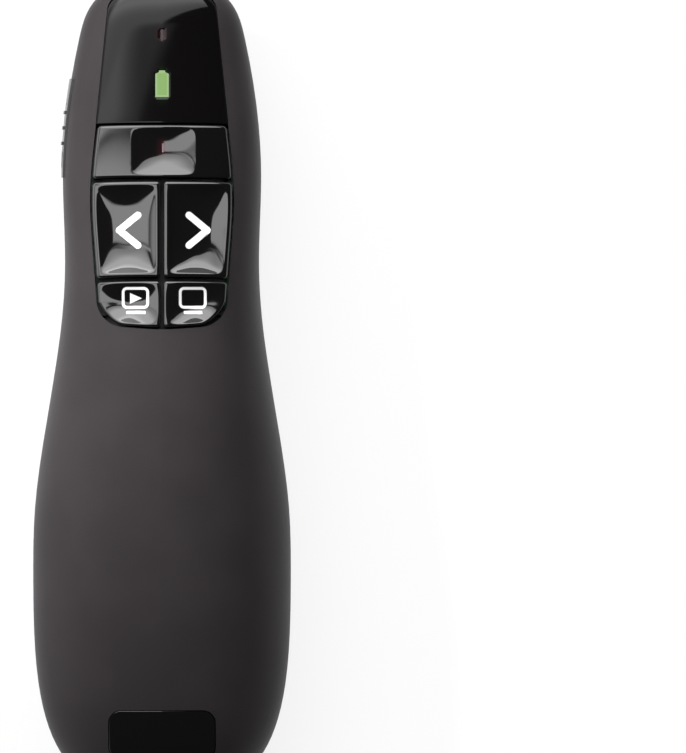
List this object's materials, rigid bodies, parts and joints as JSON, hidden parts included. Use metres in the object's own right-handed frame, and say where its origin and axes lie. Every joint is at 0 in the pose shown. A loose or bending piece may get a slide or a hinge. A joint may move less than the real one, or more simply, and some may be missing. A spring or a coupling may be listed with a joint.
{
  "type": "wireless presentation clicker",
  "caption": "Hand-held wireless presentation clicker with a waisted body, glossy key deck, laser, side power slider, sliding battery door and a receiver docked in the tail.",
  "frame": {"origin": "on the table under the middle of the case, at the bottom centre of its box", "axes": "+Y towards the nose, +Z out of the buttons, +X to the right of someone holding it"},
  "size_m": [0.0378, 0.118, 0.0269],
  "materials": {
    "matte_shell": "fine soft-touch texture",
    "gloss_black": "piano gloss",
    "gloss_trim": "satin gloss",
    "green_light": "lit light pipe",
    "red_light": "light pipe",
    "led_epoxy": "clear epoxy",
    "board_green": "solder mask",
    "frame_plastic": "moulded",
    "switch_plastic": "moulded",
    "plunger_plastic": "moulded",
    "chip_black": "epoxy package",
    "bright_steel": "bright nickel plate",
    "laser_brass": "turned",
    "clear_lens": "polished",
    "cell_jacket": "printed sleeve",
    "contact_plate": "nickel plate",
    "contact_gold": "gold plate",
    "tongue_plastic": "moulded",
    "red_wire": "pvc insulation",
    "black_wire": "pvc insulation"
  },
  "bodies": {
    "case": {"battery_light": "green_light", "black_screen_switch": "switch_plastic", "board_screws": "bright_steel", "bottom_shell": "matte_shell", "bridge_contact": "contact_plate", "bridge_spring": "contact_plate", "case_screws": "bright_steel", "crystal": "bright_steel", "indicator_leds": "led_epoxy", "key_frame": "frame_plastic", "laser_barrel": "laser_brass", "laser_driver_board": "board_green", "laser_exit_lens": "clear_lens", "laser_lens": "clear_lens", "laser_light": "red_light", "laser_switch": "switch_plastic", "laser_wires": "red_wire", "left_cell": "cell_jacket", "main_board": "board_green", "negative_contact": "contact_plate", "negative_spring": "contact_plate", "negative_wire": "black_wire", "next_switch": "switch_plastic", "nose_window": "gloss_black", "positive_contact": "contact_plate", "positive_wire": "red_wire", "previous_switch": "switch_plastic", "radio_chip": "chip_black", "right_cell": "cell_jacket", "slide_switch": "switch_plastic", "slideshow_switch": "switch_plastic", "switch_bezel": "gloss_trim", "tail_emblem": "gloss_black", "top_shell": "matte_shell"},
    "laser_button_body": {"laser_button": "gloss_black", "laser_plunger": "plunger_plastic"},
    "previous_button_body": {"previous_button": "gloss_black", "previous_plunger": "plunger_plastic"},
    "next_button_body": {"next_button": "gloss_black", "next_plunger": "plunger_plastic"},
    "slideshow_button_body": {"slideshow_button": "gloss_black", "slideshow_plunger": "plunger_plastic"},
    "black_screen_button_body": {"black_screen_button": "gloss_black", "black_screen_plunger": "plunger_plastic"},
    "power_slider_body": {"power_slider": "gloss_trim", "slide_switch_lever": "switch_plastic"},
    "receiver_body": {"receiver_housing": "matte_shell", "receiver_plug": "bright_steel", "receiver_tongue": "tongue_plastic", "receiver_contacts": "contact_gold", "receiver_board": "board_green"},
    "battery_door_body": {"battery_door": "matte_shell"}
  },
  "joints": [
    {"name": "laser_press", "type": "slide", "parent": "case", "child": "laser_button_body", "axis": [0, -0.1337, -0.991], "range_m": [0, 0.0005], "stiffness_N_per_m": 800, "springref_m": -0.001},
    {"name": "previous_press", "type": "slide", "parent": "case", "child": "previous_button_body", "axis": [0, -0.1337, -0.991], "range_m": [0, 0.0005], "stiffness_N_per_m": 800, "springref_m": -0.001},
    {"name": "next_press", "type": "slide", "parent": "case", "child": "next_button_body", "axis": [0, -0.1337, -0.991], "range_m": [0, 0.0005], "stiffness_N_per_m": 800, "springref_m": -0.001},
    {"name": "slideshow_press", "type": "slide", "parent": "case", "child": "slideshow_button_body", "axis": [0, -0.1337, -0.991], "range_m": [0, 0.0005], "stiffness_N_per_m": 800, "springref_m": -0.001},
    {"name": "black_screen_press", "type": "slide", "parent": "case", "child": "black_screen_button_body", "axis": [0, -0.1337, -0.991], "range_m": [0, 0.0005], "stiffness_N_per_m": 800, "springref_m": -0.001},
    {"name": "power_slide", "type": "slide", "parent": "case", "child": "power_slider_body", "axis": [-0.0887, -0.9961, 0], "range_m": [0, 0.0022]},
    {"name": "receiver_slide", "type": "slide", "parent": "case", "child": "receiver_body", "axis": [0, -1, 0], "range_m": [0, 0.034]},
    {"name": "door_slide", "type": "slide", "parent": "case", "child": "battery_door_body", "axis": [0, -1, 0], "range_m": [0, 0.062]}
  ]
}
